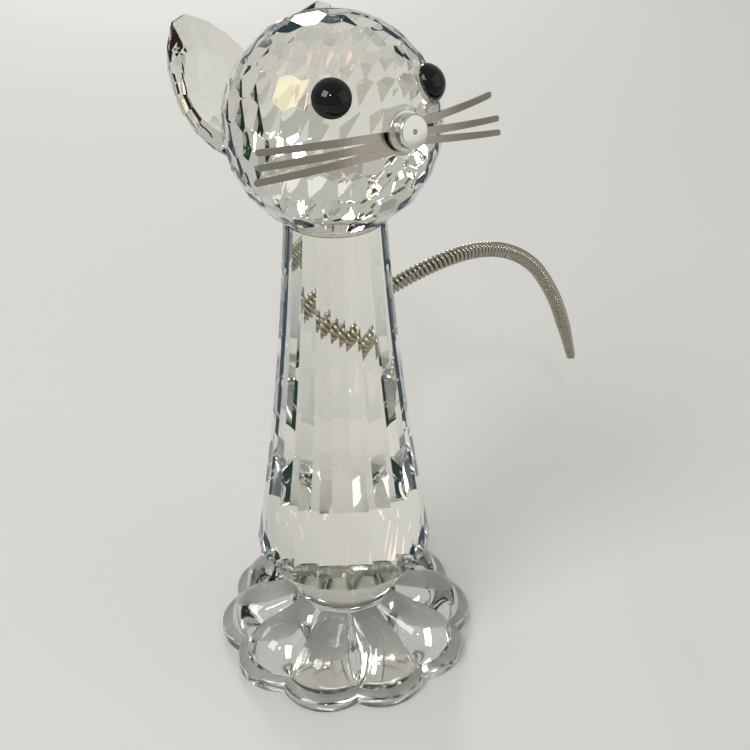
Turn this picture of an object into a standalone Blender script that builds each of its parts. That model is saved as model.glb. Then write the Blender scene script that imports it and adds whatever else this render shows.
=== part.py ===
"""Cut crystal cat figurine with a sprung wire tail.

A scalloped foot carries a tall faceted body, a cut ball head with two leaf ears, two cabochon eyes,
a stamped whisker spray and a nose stud. The tail is a close-wound coil: it is drawn as a chain of
short plain lengths, so that it can bend. Metres, +Z up, origin at the middle of the foot's underside.
The face looks along -Y, so the cat's left is +X.
"""

import math

import bmesh
import bpy
from mathutils import Matrix, Vector

MM = 0.001

# Shared clearances
GLUE_GAP = 0.30 * MM
COIL_GAP = 0.37 * MM

# Foot: one pressed piece, with domed petals round a low hub
PETALS = 10
PETAL_TURN = math.radians(43.3)
LOBE_CENTRE_RADIUS = 9.45 * MM
LOBE_RADIUS = 5.30 * MM
RIM_WIDTH = 1.20 * MM
RIM_EDGE_HEIGHT = 1.15 * MM
RIM_HEIGHT = 1.60 * MM
PETAL_SHOULDER_HEIGHT = 5.50 * MM
PETAL_INNER_HEIGHT = 6.20 * MM
VALLEY_INNER_HEIGHT = 5.60 * MM
HUB_WAIST_RADIUS = 5.50 * MM
HUB_SEAT_RADIUS = 6.10 * MM
HUB_COLLAR_HEIGHT = 7.00 * MM
HUB_HEIGHT = 7.60 * MM
PETAL_COLUMNS = 12
PETAL_RINGS = 10

# Body: tapering column, concave along its length, with an undercut below the rim
BODY_FACETS = 20
BODY_TURN = math.radians(4.0)
BODY_UNDERCUT_HEIGHT = 5.55 * MM
BODY_RIM_RADIUS = 9.75 * MM
BODY_SEAT_RADIUS = 6.10 * MM
BODY_COLUMN_LENGTH = 39.10 * MM
BODY_TOP_RADIUS = 4.95 * MM
BODY_WAISTING = 2.13 * MM
BODY_RINGS = 6

# Head: ball ground with rows of flat facets
HEAD_RADIUS = 10.00 * MM
HEAD_NECK_FLAT = 8.80 * MM
HEAD_TURN = math.radians(0.0)
HEAD_LEAN = math.radians(3.6)
FACE_TURN = math.radians(1.8)
FACET_ROWS = ((0, 24), (15, 24), (30, 24), (45, 24), (60, 12), (75, 6))

# Eyes: black cabochons
EYE_RADIUS = 1.70 * MM
EYE_EDGE = 0.25 * MM
EYE_DOME = 1.10 * MM
EYE_SEAT = 9.80 * MM
EYE_SPREAD = math.radians(36.2)
EYE_LIFT = math.radians(29.0)

# Nose stud and the whisker spray behind it
NOSE_LIFT = math.radians(12.5)
NOSE_SEAT = 9.85 * MM
NOSE_FLANGE_RADIUS = 1.75 * MM
NOSE_FLANGE_THICKNESS = 0.35 * MM
NOSE_RADIUS = 1.48 * MM
NOSE_LENGTH = 1.45 * MM
NOSE_ROUND = 0.25 * MM
NOSE_DIMPLE_RADIUS = 0.22 * MM
NOSE_DIMPLE_DEPTH = 0.30 * MM
SPRAY_THICKNESS = 0.25 * MM
SPRAY_HUB_RADIUS = 1.50 * MM
SPRAY_DROP = 0.60 * MM
WHISKER_ROOT_WIDTH = 0.72 * MM
WHISKER_TIP_WIDTH = 0.55 * MM
WHISKER_ROOT_STEP = 0.58 * MM
WHISKER_ROOT_SKEW = 0.25 * MM
WHISKER_SETBACK = 2.40 * MM
# Reach to the side and rise of each whisker's tip, upper, middle and lower.
WHISKER_TIPS_LEFT = ((12.25, 1.88), (13.05, -0.37), (13.15, -1.68))
WHISKER_TIPS_RIGHT = ((12.85, 0.62), (12.95, -0.60), (13.30, -1.75))

# Ears: leaf stones lying flat behind the ball
EAR_LENGTH = 16.30 * MM
EAR_WIDTH = 8.90 * MM
EAR_THICKNESS = 2.80 * MM
EAR_GIRDLE = 0.60 * MM
EAR_TABLE_SHARE = 0.56
EAR_SIDE_POINTS = 8
EAR_TIP_BLUNT = 0.50 * MM
EAR_SEAT = 9.60 * MM
EAR_SEAT_DROP = math.radians(18.2)
EAR_SPLAY = math.radians(22.8)
EAR_CENTRE_SIDE = 5.05 * MM
EAR_CENTRE_UP = 4.27 * MM

# Tail: outside of the coil, its taper, and the points that its middle line passes
TAIL_RADIUS = 0.93 * MM
TAIL_TIP_RADIUS = 0.60 * MM
TAIL_TAPER_START = 0.88
TAIL_SOCKET_DEPTH = 2.0 * MM
TAIL_SIDES = 10
TAIL_PIECES = 10
TAIL_ROOT_SHARE = 0.55
TAIL_ROUTE = (
    (0.0, 8.5, 21.4),
    (0.8, 11.1, 25.0),
    (3.5, 11.1, 31.0),
    (9.4, 8.5, 36.6),
    (18.4, 6.5, 39.9),
    (26.3, 7.0, 38.9),
    (33.2, 8.0, 34.9),
    (38.3, 8.8, 28.8),
    (42.3, 9.9, 21.9),
    (45.8, 11.2, 14.9),
)

ROUND_STEPS = 32


# ---------------------------------------------------------------- scene and materials

def clear_scene():
    for obj in list(bpy.data.objects):
        bpy.data.objects.remove(obj, do_unlink=True)


def new_collection(name, hidden=False):
    collection = bpy.data.collections.new(name)
    bpy.context.scene.collection.children.link(collection)
    collection.hide_render = hidden
    return collection


def new_material(name, colour, roughness, metallic=0.0, transmission=0.0):
    material = bpy.data.materials.new(name)
    material.use_nodes = True
    shader = material.node_tree.nodes["Principled BSDF"]
    shader.inputs["Base Color"].default_value = (*colour, 1.0)
    shader.inputs["Roughness"].default_value = roughness
    shader.inputs["Metallic"].default_value = metallic
    shader.inputs["Transmission Weight"].default_value = transmission
    material.diffuse_color = (*colour, 1.0)
    return material


def object_from_bmesh(bm, name, collection, material=None):
    bmesh.ops.recalc_face_normals(bm, faces=bm.faces)
    mesh = bpy.data.meshes.new(name)
    bm.to_mesh(mesh)
    bm.free()
    obj = bpy.data.objects.new(name, mesh)
    collection.objects.link(obj)
    if material:
        obj.data.materials.append(material)
    return obj


def make_cutter(obj):
    obj.hide_render = True
    obj.display_type = "WIRE"
    return obj


def add_boolean(obj, other, operation):
    modifier = obj.modifiers.new(f"{operation.lower()}_{other.name}", "BOOLEAN")
    modifier.operation = operation
    modifier.solver = "EXACT"
    modifier.object = other
    return modifier


def turned(name, profile, steps, collection, material):
    """A solid of revolution about Z: profile is (radius, height) pairs down the outer side."""
    bm = bmesh.new()
    points = [bm.verts.new((radius, 0.0, height)) for radius, height in profile]
    for first, second in zip(points, points[1:]):
        bm.edges.new((first, second))
    mesh = bpy.data.meshes.new(name)
    bm.to_mesh(mesh)
    bm.free()
    obj = bpy.data.objects.new(name, mesh)
    collection.objects.link(obj)
    obj.data.materials.append(material)
    screw = obj.modifiers.new("turn", "SCREW")
    screw.steps = steps
    screw.render_steps = steps
    screw.use_merge_vertices = True
    screw.merge_threshold = 0.00001
    screw.use_smooth_shade = False
    return obj


# ---------------------------------------------------------------- foot

def lobe_edge(turn):
    """Distance from the middle to the scalloped edge, this far round from the middle of a petal."""
    aside = LOBE_CENTRE_RADIUS * math.sin(turn)
    return LOBE_CENTRE_RADIUS * math.cos(turn) + math.sqrt(LOBE_RADIUS**2 - aside**2)


def petal_point(turn, outward):
    """A point on a petal's dome: outward runs from 0 at the hub to 1 at the inside of the rim."""
    half_pitch = math.pi / PETALS
    span = lobe_edge(turn) - RIM_WIDTH - HUB_WAIST_RADIUS
    radius = HUB_WAIST_RADIUS + span * outward
    shoulder = (LOBE_CENTRE_RADIUS - HUB_WAIST_RADIUS) / (lobe_edge(0.0) - RIM_WIDTH - HUB_WAIST_RADIUS)
    if outward > shoulder:
        beyond = (outward - shoulder) / (1.0 - shoulder)
        crest = RIM_HEIGHT + (PETAL_SHOULDER_HEIGHT - RIM_HEIGHT) * math.sqrt(1.0 - beyond**2)
    else:
        inward = 1.0 - outward / shoulder
        crest = PETAL_SHOULDER_HEIGHT + (PETAL_INNER_HEIGHT - PETAL_SHOULDER_HEIGHT) * inward
    valley = VALLEY_INNER_HEIGHT + (RIM_HEIGHT - VALLEY_INNER_HEIGHT) * outward
    across = math.sqrt(max(1.0 - (turn / half_pitch) ** 2, 0.0))
    height = valley + (crest - valley) * across
    return radius, height


def make_foot(parts, material):
    """Rings of points from the hub's top, down over the petals and the rim, to the flat underside."""
    half_pitch = math.pi / PETALS
    bm = bmesh.new()
    rings = []
    for radius, height in (
        (HUB_SEAT_RADIUS - 0.3 * MM, HUB_HEIGHT),
        (HUB_SEAT_RADIUS, HUB_HEIGHT - 0.25 * MM),
        (HUB_WAIST_RADIUS + 0.1 * MM, HUB_COLLAR_HEIGHT - 0.3 * MM),
    ):
        rings.append([(radius, height)] * PETALS * PETAL_COLUMNS)
    turns = [
        half_pitch * math.sin(math.radians(90.0) * (2 * column / PETAL_COLUMNS - 1))
        for column in range(PETAL_COLUMNS)
    ]
    for ring in range(PETAL_RINGS + 1):
        outward = math.sin(math.radians(90.0) * ring / PETAL_RINGS)
        rings.append([petal_point(turn, outward) for turn in turns] * PETALS)
    rings.append([(lobe_edge(turn), RIM_EDGE_HEIGHT) for turn in turns] * PETALS)
    rings.append([(lobe_edge(turn), 0.0) for turn in turns] * PETALS)
    laid = []
    for ring in rings:
        laid.append([])
        for index, (radius, height) in enumerate(ring):
            petal = index // PETAL_COLUMNS
            angle = PETAL_TURN + petal * 2 * half_pitch + turns[index % PETAL_COLUMNS]
            place = (radius * math.cos(angle), radius * math.sin(angle), height)
            laid[-1].append(bm.verts.new(place))
    count = PETALS * PETAL_COLUMNS
    for upper, lower in zip(laid, laid[1:]):
        for index in range(count):
            following = (index + 1) % count
            bm.faces.new((upper[index], lower[index], lower[following], upper[following]))
    bm.faces.new(laid[0])
    bm.faces.new(list(reversed(laid[-1])))
    return object_from_bmesh(bm, "scalloped_foot", parts, material)


# ---------------------------------------------------------------- body

def body_seat_height():
    return HUB_HEIGHT + GLUE_GAP


def body_rim_height():
    return body_seat_height() + BODY_UNDERCUT_HEIGHT


def body_top_height():
    return body_rim_height() + BODY_COLUMN_LENGTH


def body_radius_at(height):
    """Corner radius of the column, which draws in faster near its foot than near its top."""
    share = (body_top_height() - height) / BODY_COLUMN_LENGTH
    straight = BODY_TOP_RADIUS + (BODY_RIM_RADIUS - BODY_TOP_RADIUS) * share
    return straight - BODY_WAISTING * share * (1.0 - share)


def make_body(parts, cutters, material, socket):
    heights = [
        body_top_height() - BODY_COLUMN_LENGTH * ring / BODY_RINGS for ring in range(BODY_RINGS + 1)
    ]
    profile = [(0.0, body_top_height())]
    profile += [(body_radius_at(height), height) for height in heights]
    profile += [(BODY_SEAT_RADIUS, body_seat_height()), (0.0, body_seat_height())]
    body = turned("faceted_body", profile, BODY_FACETS, parts, material)
    body.rotation_euler = (0.0, 0.0, BODY_TURN)
    add_boolean(body, socket, "DIFFERENCE")
    return body


# ---------------------------------------------------------------- head and face

def head_centre():
    return Vector((0.0, 0.0, body_top_height() + GLUE_GAP + HEAD_NECK_FLAT))


def make_head_frame(parts):
    """The empty that carries the head and face: -Y is forward, +X the cat's left."""
    frame = bpy.data.objects.new("head_frame", None)
    parts.objects.link(frame)
    frame.location = head_centre()
    turn = Matrix.Rotation(HEAD_TURN, 3, "Z") @ Matrix.Rotation(HEAD_LEAN, 3, "Y")
    frame.rotation_euler = turn.to_euler()
    return frame


def ride_on_head(obj, frame, axis_matrix):
    obj.parent = frame
    obj.location = axis_matrix.to_translation()
    obj.rotation_euler = axis_matrix.to_euler()
    return obj


def facing(turn_left, lift):
    """Frame whose +Z points out of the head, this far to the cat's left and above the middle."""
    aside = Matrix.Rotation(turn_left, 4, "Z")
    upward = Matrix.Rotation(math.radians(90.0) - lift, 4, "X")
    return aside @ upward


def eye_frame(side):
    return facing(FACE_TURN + side * EYE_SPREAD, EYE_LIFT)


def nose_frame():
    return facing(FACE_TURN, NOSE_LIFT)


def facet_directions():
    for latitude, count in FACET_ROWS:
        for side in (1, -1) if latitude else (1,):
            offset = 0.5 if (latitude // 15) % 2 else 0.0
            for index in range(count):
                turn = (index + offset) * math.tau / count
                yield facing(turn, math.radians(side * latitude))


def grind(bm, frame_matrix, distance):
    """Grinds one flat, square to the frame's Z and this far from the ball's middle."""
    normal = (frame_matrix.to_3x3() @ Vector((0.0, 0.0, 1.0))).normalized()
    geometry = list(bm.verts) + list(bm.edges) + list(bm.faces)
    bmesh.ops.bisect_plane(
        bm, geom=geometry, dist=1e-8, plane_co=normal * distance, plane_no=normal, clear_outer=True
    )
    rim = [edge for edge in bm.edges if edge.is_boundary]
    if rim:
        bmesh.ops.contextual_create(bm, geom=rim)


def make_head(parts, material, frame):
    bm = bmesh.new()
    bmesh.ops.create_cube(bm, size=HEAD_RADIUS * 2)
    for direction in facet_directions():
        grind(bm, direction, HEAD_RADIUS)
    for side in (1, -1):
        grind(bm, eye_frame(side), EYE_SEAT)
    grind(bm, nose_frame(), NOSE_SEAT)
    grind(bm, facing(math.pi, -EAR_SEAT_DROP), EAR_SEAT)
    head = object_from_bmesh(bm, "cut_ball_head", parts, material)
    head.parent = frame
    return head


def grind_neck_flat(head, cutters):
    """The ball's neck flat is level with the body's top, whatever the head's lean."""
    bm = bmesh.new()
    size = HEAD_RADIUS * 3
    low = head_centre() - Vector((0.0, 0.0, HEAD_NECK_FLAT + size / 2))
    bmesh.ops.create_cube(bm, size=size, matrix=Matrix.Translation(low))
    add_boolean(head, make_cutter(object_from_bmesh(bm, "neck_plane", cutters)), "DIFFERENCE")


def make_eye(name, side, parts, material, frame):
    steps = 5
    profile = []
    for step in range(steps + 1):
        angle = math.radians(90.0) * step / steps
        profile.append((EYE_RADIUS * math.sin(angle), EYE_EDGE + EYE_DOME * math.cos(angle)))
    profile += [(EYE_RADIUS, 0.0), (0.0, 0.0)]
    eye = turned(name, profile, ROUND_STEPS, parts, material)
    place = eye_frame(side) @ Matrix.Translation((0.0, 0.0, EYE_SEAT + GLUE_GAP))
    return ride_on_head(eye, frame, place)


def spray_back():
    return NOSE_SEAT + GLUE_GAP


def make_nose(parts, material, frame):
    top = NOSE_LENGTH
    profile = [(0.0, top - NOSE_DIMPLE_DEPTH), (NOSE_DIMPLE_RADIUS, top)]
    corner = 3
    for step in range(corner + 1):
        angle = math.radians(90.0) * step / corner
        radius = NOSE_RADIUS - NOSE_ROUND + NOSE_ROUND * math.sin(angle)
        profile.append((radius, top - NOSE_ROUND + NOSE_ROUND * math.cos(angle)))
    profile += [
        (NOSE_RADIUS, NOSE_FLANGE_THICKNESS),
        (NOSE_FLANGE_RADIUS, NOSE_FLANGE_THICKNESS),
        (NOSE_FLANGE_RADIUS, 0.0),
        (0.0, 0.0),
    ]
    nose = turned("nose_stud", profile, ROUND_STEPS, parts, material)
    distance = spray_back() + SPRAY_THICKNESS + GLUE_GAP
    return ride_on_head(nose, frame, nose_frame() @ Matrix.Translation((0.0, 0.0, distance)))


def whisker_blade(name, tip, root_rise, cutters):
    """A tapering blade with a round end, bent back round the ball. Local +Z points out of the nose."""
    steps = 14
    reach = tip[0] * MM
    rise = tip[1] * MM
    bm = bmesh.new()
    rows = []
    for step in range(steps + 1):
        share = step / steps
        side = reach * share
        middle = root_rise + (rise - root_rise) * share
        width = WHISKER_ROOT_WIDTH + (WHISKER_TIP_WIDTH - WHISKER_ROOT_WIDTH) * share
        from_end = abs(reach) * (1.0 - share)
        if from_end < WHISKER_TIP_WIDTH / 2:
            ratio = 1.0 - from_end / (WHISKER_TIP_WIDTH / 2)
            width *= max(math.sqrt(1.0 - ratio * ratio), 0.45)
        back = -WHISKER_SETBACK * share * share
        level = SPRAY_THICKNESS / 2 + back
        rows.append([
            bm.verts.new((side, middle + half * width / 2, level + lay * SPRAY_THICKNESS / 2))
            for half, lay in ((-1, -1), (1, -1), (1, 1), (-1, 1))
        ])
    for first, second in zip(rows, rows[1:]):
        for index in range(4):
            following = (index + 1) % 4
            bm.faces.new((first[index], first[following], second[following], second[index]))
    bm.faces.new(rows[0])
    bm.faces.new(rows[-1])
    return make_cutter(object_from_bmesh(bm, name, cutters))


def make_spray(parts, cutters, material, frame):
    profile = (
        (0.0, SPRAY_THICKNESS),
        (SPRAY_HUB_RADIUS, SPRAY_THICKNESS),
        (SPRAY_HUB_RADIUS, 0.0),
        (0.0, 0.0),
    )
    spray = turned("whisker_spray", profile, ROUND_STEPS, parts, material)
    place = nose_frame() @ Matrix.Translation((0.0, -SPRAY_DROP, spray_back()))
    ride_on_head(spray, frame, place)
    for side, tips, label in ((1, WHISKER_TIPS_LEFT, "left"), (-1, WHISKER_TIPS_RIGHT, "right")):
        for index, (reach, rise) in enumerate(tips):
            root_rise = (1 - index) * WHISKER_ROOT_STEP + side * WHISKER_ROOT_SKEW
            blade = whisker_blade(f"blade_{label}_{index}", (side * reach, rise), root_rise, cutters)
            ride_on_head(blade, frame, place)
            add_boolean(spray, blade, "UNION")
    return spray


# ---------------------------------------------------------------- ears

def leaf_outline():
    """Two equal arcs that meet in blunted points, anticlockwise, tip towards +Y."""
    half_length = EAR_LENGTH / 2
    half_width = EAR_WIDTH / 2
    radius = (half_length**2 + half_width**2) / (2 * half_width)
    sweep = math.asin((half_length - EAR_TIP_BLUNT) / radius)
    points = []
    for side in (1, -1):
        for step in range(EAR_SIDE_POINTS + 1):
            angle = side * sweep * (2 * step / EAR_SIDE_POINTS - 1)
            across = side * (radius * math.cos(angle) - (radius - half_width))
            points.append(Vector((across, radius * math.sin(angle))))
    return points


def make_ear(name, side, parts, material, frame):
    """Local +Z points backwards out of the head, and +Y towards the ear's tip."""
    outline = leaf_outline()
    half = EAR_THICKNESS / 2
    levels = (
        (-half, EAR_TABLE_SHARE),
        (-EAR_GIRDLE / 2, 1.0),
        (EAR_GIRDLE / 2, 1.0),
        (half, EAR_TABLE_SHARE),
    )
    bm = bmesh.new()
    rings = [[bm.verts.new((*(point * share), level)) for point in outline] for level, share in levels]
    count = len(outline)
    for lower, upper in zip(rings, rings[1:]):
        for index in range(count):
            following = (index + 1) % count
            bm.faces.new((lower[index], lower[following], upper[following], upper[index]))
    bm.faces.new(list(reversed(rings[0])))
    bm.faces.new(rings[-1])
    ear = object_from_bmesh(bm, name, parts, material)
    distance = EAR_SEAT + GLUE_GAP + EAR_THICKNESS / 2
    # Seen from behind, the cat's left side lies towards -X of the seat's frame.
    centre = Matrix.Translation((-side * EAR_CENTRE_SIDE, EAR_CENTRE_UP, distance))
    splay = Matrix.Rotation(side * EAR_SPLAY, 4, "Z")
    return ride_on_head(ear, frame, facing(math.pi, -EAR_SEAT_DROP) @ centre @ splay)


# ---------------------------------------------------------------- tail

def catmull_rom(points, share):
    """The point this share of the way along a smooth curve through the points."""
    spans = len(points) - 1
    position = min(share * spans, spans - 1e-9)
    index = int(position)
    local = position - index
    before = points[index - 1] if index else points[0] * 2 - points[1]
    start = points[index]
    end = points[index + 1]
    after = points[index + 2] if index + 2 < len(points) else points[-1] * 2 - points[-2]
    return 0.5 * (
        start * 2
        + (end - before) * local
        + (before * 2 - start * 5 + end * 4 - after) * local**2
        + (start * 3 - before - end * 3 + after) * local**3
    )


def tail_line():
    """The middle line as many close points, with the distance along it to each, from the body out."""
    shift = body_radius_at(TAIL_ROUTE[0][2] * MM) - TAIL_ROUTE[0][1] * MM
    controls = [Vector(point) * MM + Vector((0.0, shift, 0.0)) for point in TAIL_ROUTE]
    samples = 400
    points = [catmull_rom(controls, index / samples) for index in range(samples + 1)]
    inward = (points[0] - points[1]).normalized() * TAIL_SOCKET_DEPTH
    points.insert(0, points[0] + inward)
    lengths = [0.0]
    for first, second in zip(points, points[1:]):
        lengths.append(lengths[-1] + (second - first).length)
    return points, lengths


def point_along(points, lengths, distance):
    for index in range(1, len(lengths)):
        if lengths[index] >= distance or index == len(lengths) - 1:
            span = lengths[index] - lengths[index - 1]
            share = (distance - lengths[index - 1]) / span
            return points[index - 1].lerp(points[index], share)
    return points[-1]


def tail_radius_at(share):
    if share <= TAIL_TAPER_START:
        return TAIL_RADIUS
    beyond = (share - TAIL_TAPER_START) / (1.0 - TAIL_TAPER_START)
    return TAIL_RADIUS + (TAIL_TIP_RADIUS - TAIL_RADIUS) * beyond


def tail_breaks(total):
    """Distances of the ends of each length: the first is the short fixed one in the socket."""
    free = total - TAIL_SOCKET_DEPTH
    length = free / (TAIL_PIECES - 1 + TAIL_ROOT_SHARE)
    first = TAIL_SOCKET_DEPTH + length * TAIL_ROOT_SHARE
    return [0.0, first] + [first + length * (index + 1) for index in range(TAIL_PIECES - 1)]


def tube(name, stations, collection, material):
    """A closed tube through (point, radius) stations, as a curve with a round bevel."""
    curve = bpy.data.curves.new(name, "CURVE")
    curve.dimensions = "3D"
    curve.bevel_depth = 1.0
    curve.bevel_resolution = 3
    curve.use_fill_caps = True
    spline = curve.splines.new("POLY")
    spline.points.add(len(stations) - 1)
    for control, (point, radius) in zip(spline.points, stations):
        control.co = (*point, 1.0)
        control.radius = radius
    obj = bpy.data.objects.new(name, curve)
    collection.objects.link(obj)
    obj.data.materials.append(material)
    return obj


def make_tail(parts, material):
    points, lengths = tail_line()
    total = lengths[-1]
    breaks = tail_breaks(total)
    for index in range(TAIL_PIECES):
        start = breaks[index] + (COIL_GAP / 2 if index else 0.0)
        end = breaks[index + 1] - (COIL_GAP / 2 if index < TAIL_PIECES - 1 else 0.0)
        last = index == TAIL_PIECES - 1
        steps = 4
        distances = [start + (end - start) * step / steps for step in range(steps + 1)]
        stations = [
            (point_along(points, lengths, distance), tail_radius_at(distance / total))
            for distance in distances
        ]
        if last:
            # The tip is rounded off over its own radius.
            closing = stations.pop()[0]
            along = (closing - stations[-1][0]).normalized()
            for angle in (0.0, 35.0, 65.0, 82.0):
                forward = math.sin(math.radians(angle)) - 1.0
                radius = math.cos(math.radians(angle))
                stations.append((closing + along * TAIL_TIP_RADIUS * forward, TAIL_TIP_RADIUS * radius))
        name = "tail_root" if index == 0 else "tail_tip" if last else f"tail_length_{index}"
        obj = tube(name, stations, parts, material)
        if index:
            pivot = point_along(points, lengths, breaks[index])
            for control in obj.data.splines[0].points:
                control.co = (*(Vector(control.co[:3]) - pivot), 1.0)
            obj.location = pivot


def make_tail_socket(cutters):
    """A blind hole for the tail's end, a glue gap wider all round and deeper."""
    points, _ = tail_line()
    start = points[0]
    outward = (points[1] - points[0]).normalized()
    depth = TAIL_SOCKET_DEPTH * 3
    bm = bmesh.new()
    axis = outward.to_track_quat("Z", "Y").to_matrix().to_4x4()
    middle = start + outward * (depth / 2 - GLUE_GAP)
    bmesh.ops.create_cone(
        bm,
        cap_ends=True,
        segments=ROUND_STEPS // 2,
        radius1=TAIL_RADIUS + GLUE_GAP,
        radius2=TAIL_RADIUS + GLUE_GAP,
        depth=depth,
        matrix=Matrix.Translation(middle) @ axis,
    )
    return make_cutter(object_from_bmesh(bm, "tail_socket", cutters))


# ---------------------------------------------------------------- assembly

def main():
    clear_scene()
    parts = new_collection("crystal_cat_figurine")
    cutters = new_collection("cutters", hidden=True)
    crystal = new_material("lead_crystal", (0.86, 0.86, 0.82), 0.02, transmission=1.0)
    pressed = new_material("pressed_crystal", (0.84, 0.85, 0.82), 0.05, transmission=1.0)
    jet = new_material("black_glass", (0.01, 0.01, 0.012), 0.05)
    nickel = new_material("nickel_plate", (0.72, 0.70, 0.64), 0.22, metallic=1.0)
    spring = new_material("spring_wire", (0.60, 0.57, 0.50), 0.28, metallic=1.0)

    make_foot(parts, pressed)
    make_body(parts, cutters, crystal, make_tail_socket(cutters))
    frame = make_head_frame(parts)
    head = make_head(parts, crystal, frame)
    grind_neck_flat(head, cutters)
    for side, label in ((1, "left"), (-1, "right")):
        make_eye(f"eye_{label}", side, parts, jet, frame)
        make_ear(f"ear_{label}", side, parts, crystal, frame)
    make_spray(parts, cutters, nickel, frame)
    make_nose(parts, nickel, frame)
    make_tail(parts, spring)


main()
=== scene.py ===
"""Look of the crystal cat figurine on its frame: cut stones, pressed foot, metal trim and wire tail."""

import math

import bmesh
import bpy
from bpy.props import FloatProperty, FloatVectorProperty, IntProperty, PointerProperty
from mathutils import Matrix, Vector


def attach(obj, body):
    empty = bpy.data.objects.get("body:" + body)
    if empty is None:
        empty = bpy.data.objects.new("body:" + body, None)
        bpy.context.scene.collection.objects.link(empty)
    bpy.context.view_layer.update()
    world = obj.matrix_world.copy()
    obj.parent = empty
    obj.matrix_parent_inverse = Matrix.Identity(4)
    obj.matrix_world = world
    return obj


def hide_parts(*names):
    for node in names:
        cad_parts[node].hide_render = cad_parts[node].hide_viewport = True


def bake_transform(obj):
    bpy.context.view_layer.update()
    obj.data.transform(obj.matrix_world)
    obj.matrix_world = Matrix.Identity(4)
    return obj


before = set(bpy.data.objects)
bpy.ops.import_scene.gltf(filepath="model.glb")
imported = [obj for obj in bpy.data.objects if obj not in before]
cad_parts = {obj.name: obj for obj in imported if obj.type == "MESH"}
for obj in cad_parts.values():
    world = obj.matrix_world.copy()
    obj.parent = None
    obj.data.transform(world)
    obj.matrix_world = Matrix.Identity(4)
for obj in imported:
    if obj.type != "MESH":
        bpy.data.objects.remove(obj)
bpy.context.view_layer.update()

bl_info = {
    "name": "Crystal cat figurine",
    "version": (1, 0, 0),
    "blender": (4, 5, 0),
    "location": "3D View > Sidebar > Figurine",
    "description": "Builds a cut crystal cat with a sprung wire tail, and a small studio for it",
    "category": "Add Mesh",
}

MM = 0.001
MICRON = 0.000001
GLUE_GAP = 0.30 * MM
GLUE_SOAK = 0.05 * MM
STILL_BODY = "figurine"
ROUND_STEPS = 64
QUARTER_TURN = math.radians(90.0)
SIDES = ((1, "left"), (-1, "right"))  # the cat's own left and right
NOISE_RANGE = (0.35, 0.65)  # where nearly all of a noise texture's values lie


# ---- sizes and colours

def linear(hexadecimal):
    """Linear colour of an sRGB value written as six hexadecimal digits."""
    channels = []
    for start in (0, 2, 4):
        value = int(hexadecimal[start : start + 2], 16) / 255
        channels.append(value / 12.92 if value <= 0.04045 else ((value + 0.055) / 1.055) ** 2.4)
    return (*channels, 1.0)


class FootSettings(bpy.types.PropertyGroup):
    petals: IntProperty(name="Petals", description="Domed petals round the foot", default=10, min=3)
    turn: FloatProperty(
        name="Turn", description="Direction of the first petal", default=math.radians(43.3), subtype="ANGLE"
    )
    lobe_centre: FloatProperty(
        name="Lobe centre", description="Radius of the ring of lobe centres", default=0.00945, unit="LENGTH"
    )
    lobe_radius: FloatProperty(
        name="Lobe radius", description="Radius of each lobe of the edge", default=0.0053, unit="LENGTH"
    )
    rim_width: FloatProperty(
        name="Rim width", description="Ledge outside each petal's dome", default=0.0012, unit="LENGTH"
    )
    rim_edge: FloatProperty(
        name="Rim edge", description="Height of the ledge's outer edge", default=0.00115, unit="LENGTH"
    )
    rim_height: FloatProperty(
        name="Rim height", description="Height where each dome starts", default=0.0016, unit="LENGTH"
    )
    shoulder_height: FloatProperty(
        name="Shoulder", description="Crest height over the lobe centre", default=0.0055, unit="LENGTH"
    )
    inner_height: FloatProperty(
        name="Inner crest", description="Crest height beside the hub", default=0.0062, unit="LENGTH"
    )
    valley_height: FloatProperty(
        name="Valley", description="Height of the groove beside the hub", default=0.0056, unit="LENGTH"
    )
    waist: FloatProperty(name="Hub waist", description="Radius of the hub", default=0.0055, unit="LENGTH")
    seat: FloatProperty(
        name="Hub seat", description="Radius of the seat under the body", default=0.0061, unit="LENGTH"
    )
    collar_height: FloatProperty(
        name="Collar", description="Height where the hub flares", default=0.0070, unit="LENGTH"
    )
    height: FloatProperty(name="Height", description="Top of the hub", default=0.0076, unit="LENGTH")


class BodySettings(bpy.types.PropertyGroup):
    facets: IntProperty(name="Facets", description="Flat strips round the column", default=20, min=6)
    turn: FloatProperty(
        name="Turn", description="Direction of the first edge", default=math.radians(4.0), subtype="ANGLE"
    )
    undercut: FloatProperty(
        name="Undercut", description="Height from the seat to the rim", default=0.00555, unit="LENGTH"
    )
    rim_radius: FloatProperty(
        name="Rim radius", description="Widest radius, low down", default=0.00975, unit="LENGTH"
    )
    seat_radius: FloatProperty(
        name="Seat radius", description="Radius where it meets the foot", default=0.0061, unit="LENGTH"
    )
    length: FloatProperty(
        name="Column length", description="From the rim to the top", default=0.0391, unit="LENGTH"
    )
    top_radius: FloatProperty(name="Top radius", description="Under the head", default=0.00495, unit="LENGTH")
    waisting: FloatProperty(
        name="Waisting", description="How far the column draws in", default=0.00213, unit="LENGTH"
    )


class HeadSettings(bpy.types.PropertyGroup):
    radius: FloatProperty(
        name="Radius", description="From the middle to each facet", default=0.010, unit="LENGTH"
    )
    neck_flat: FloatProperty(
        name="Neck flat", description="From the middle down to the neck", default=0.0088, unit="LENGTH"
    )
    lean: FloatProperty(
        name="Lean", description="Tilt to the cat's left", default=math.radians(3.6), subtype="ANGLE"
    )
    face_turn: FloatProperty(
        name="Face turn", description="Face's turn to its left", default=math.radians(1.8), subtype="ANGLE"
    )
    face_seat: FloatProperty(
        name="Nose seat", description="From the middle to the nose's flat", default=0.00985, unit="LENGTH"
    )
    eye_seat: FloatProperty(
        name="Eye seat", description="From the middle to each eye's flat", default=0.0098, unit="LENGTH"
    )
    ear_seat: FloatProperty(
        name="Ear seat", description="From the middle to the ears' flat", default=0.0096, unit="LENGTH"
    )


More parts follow.
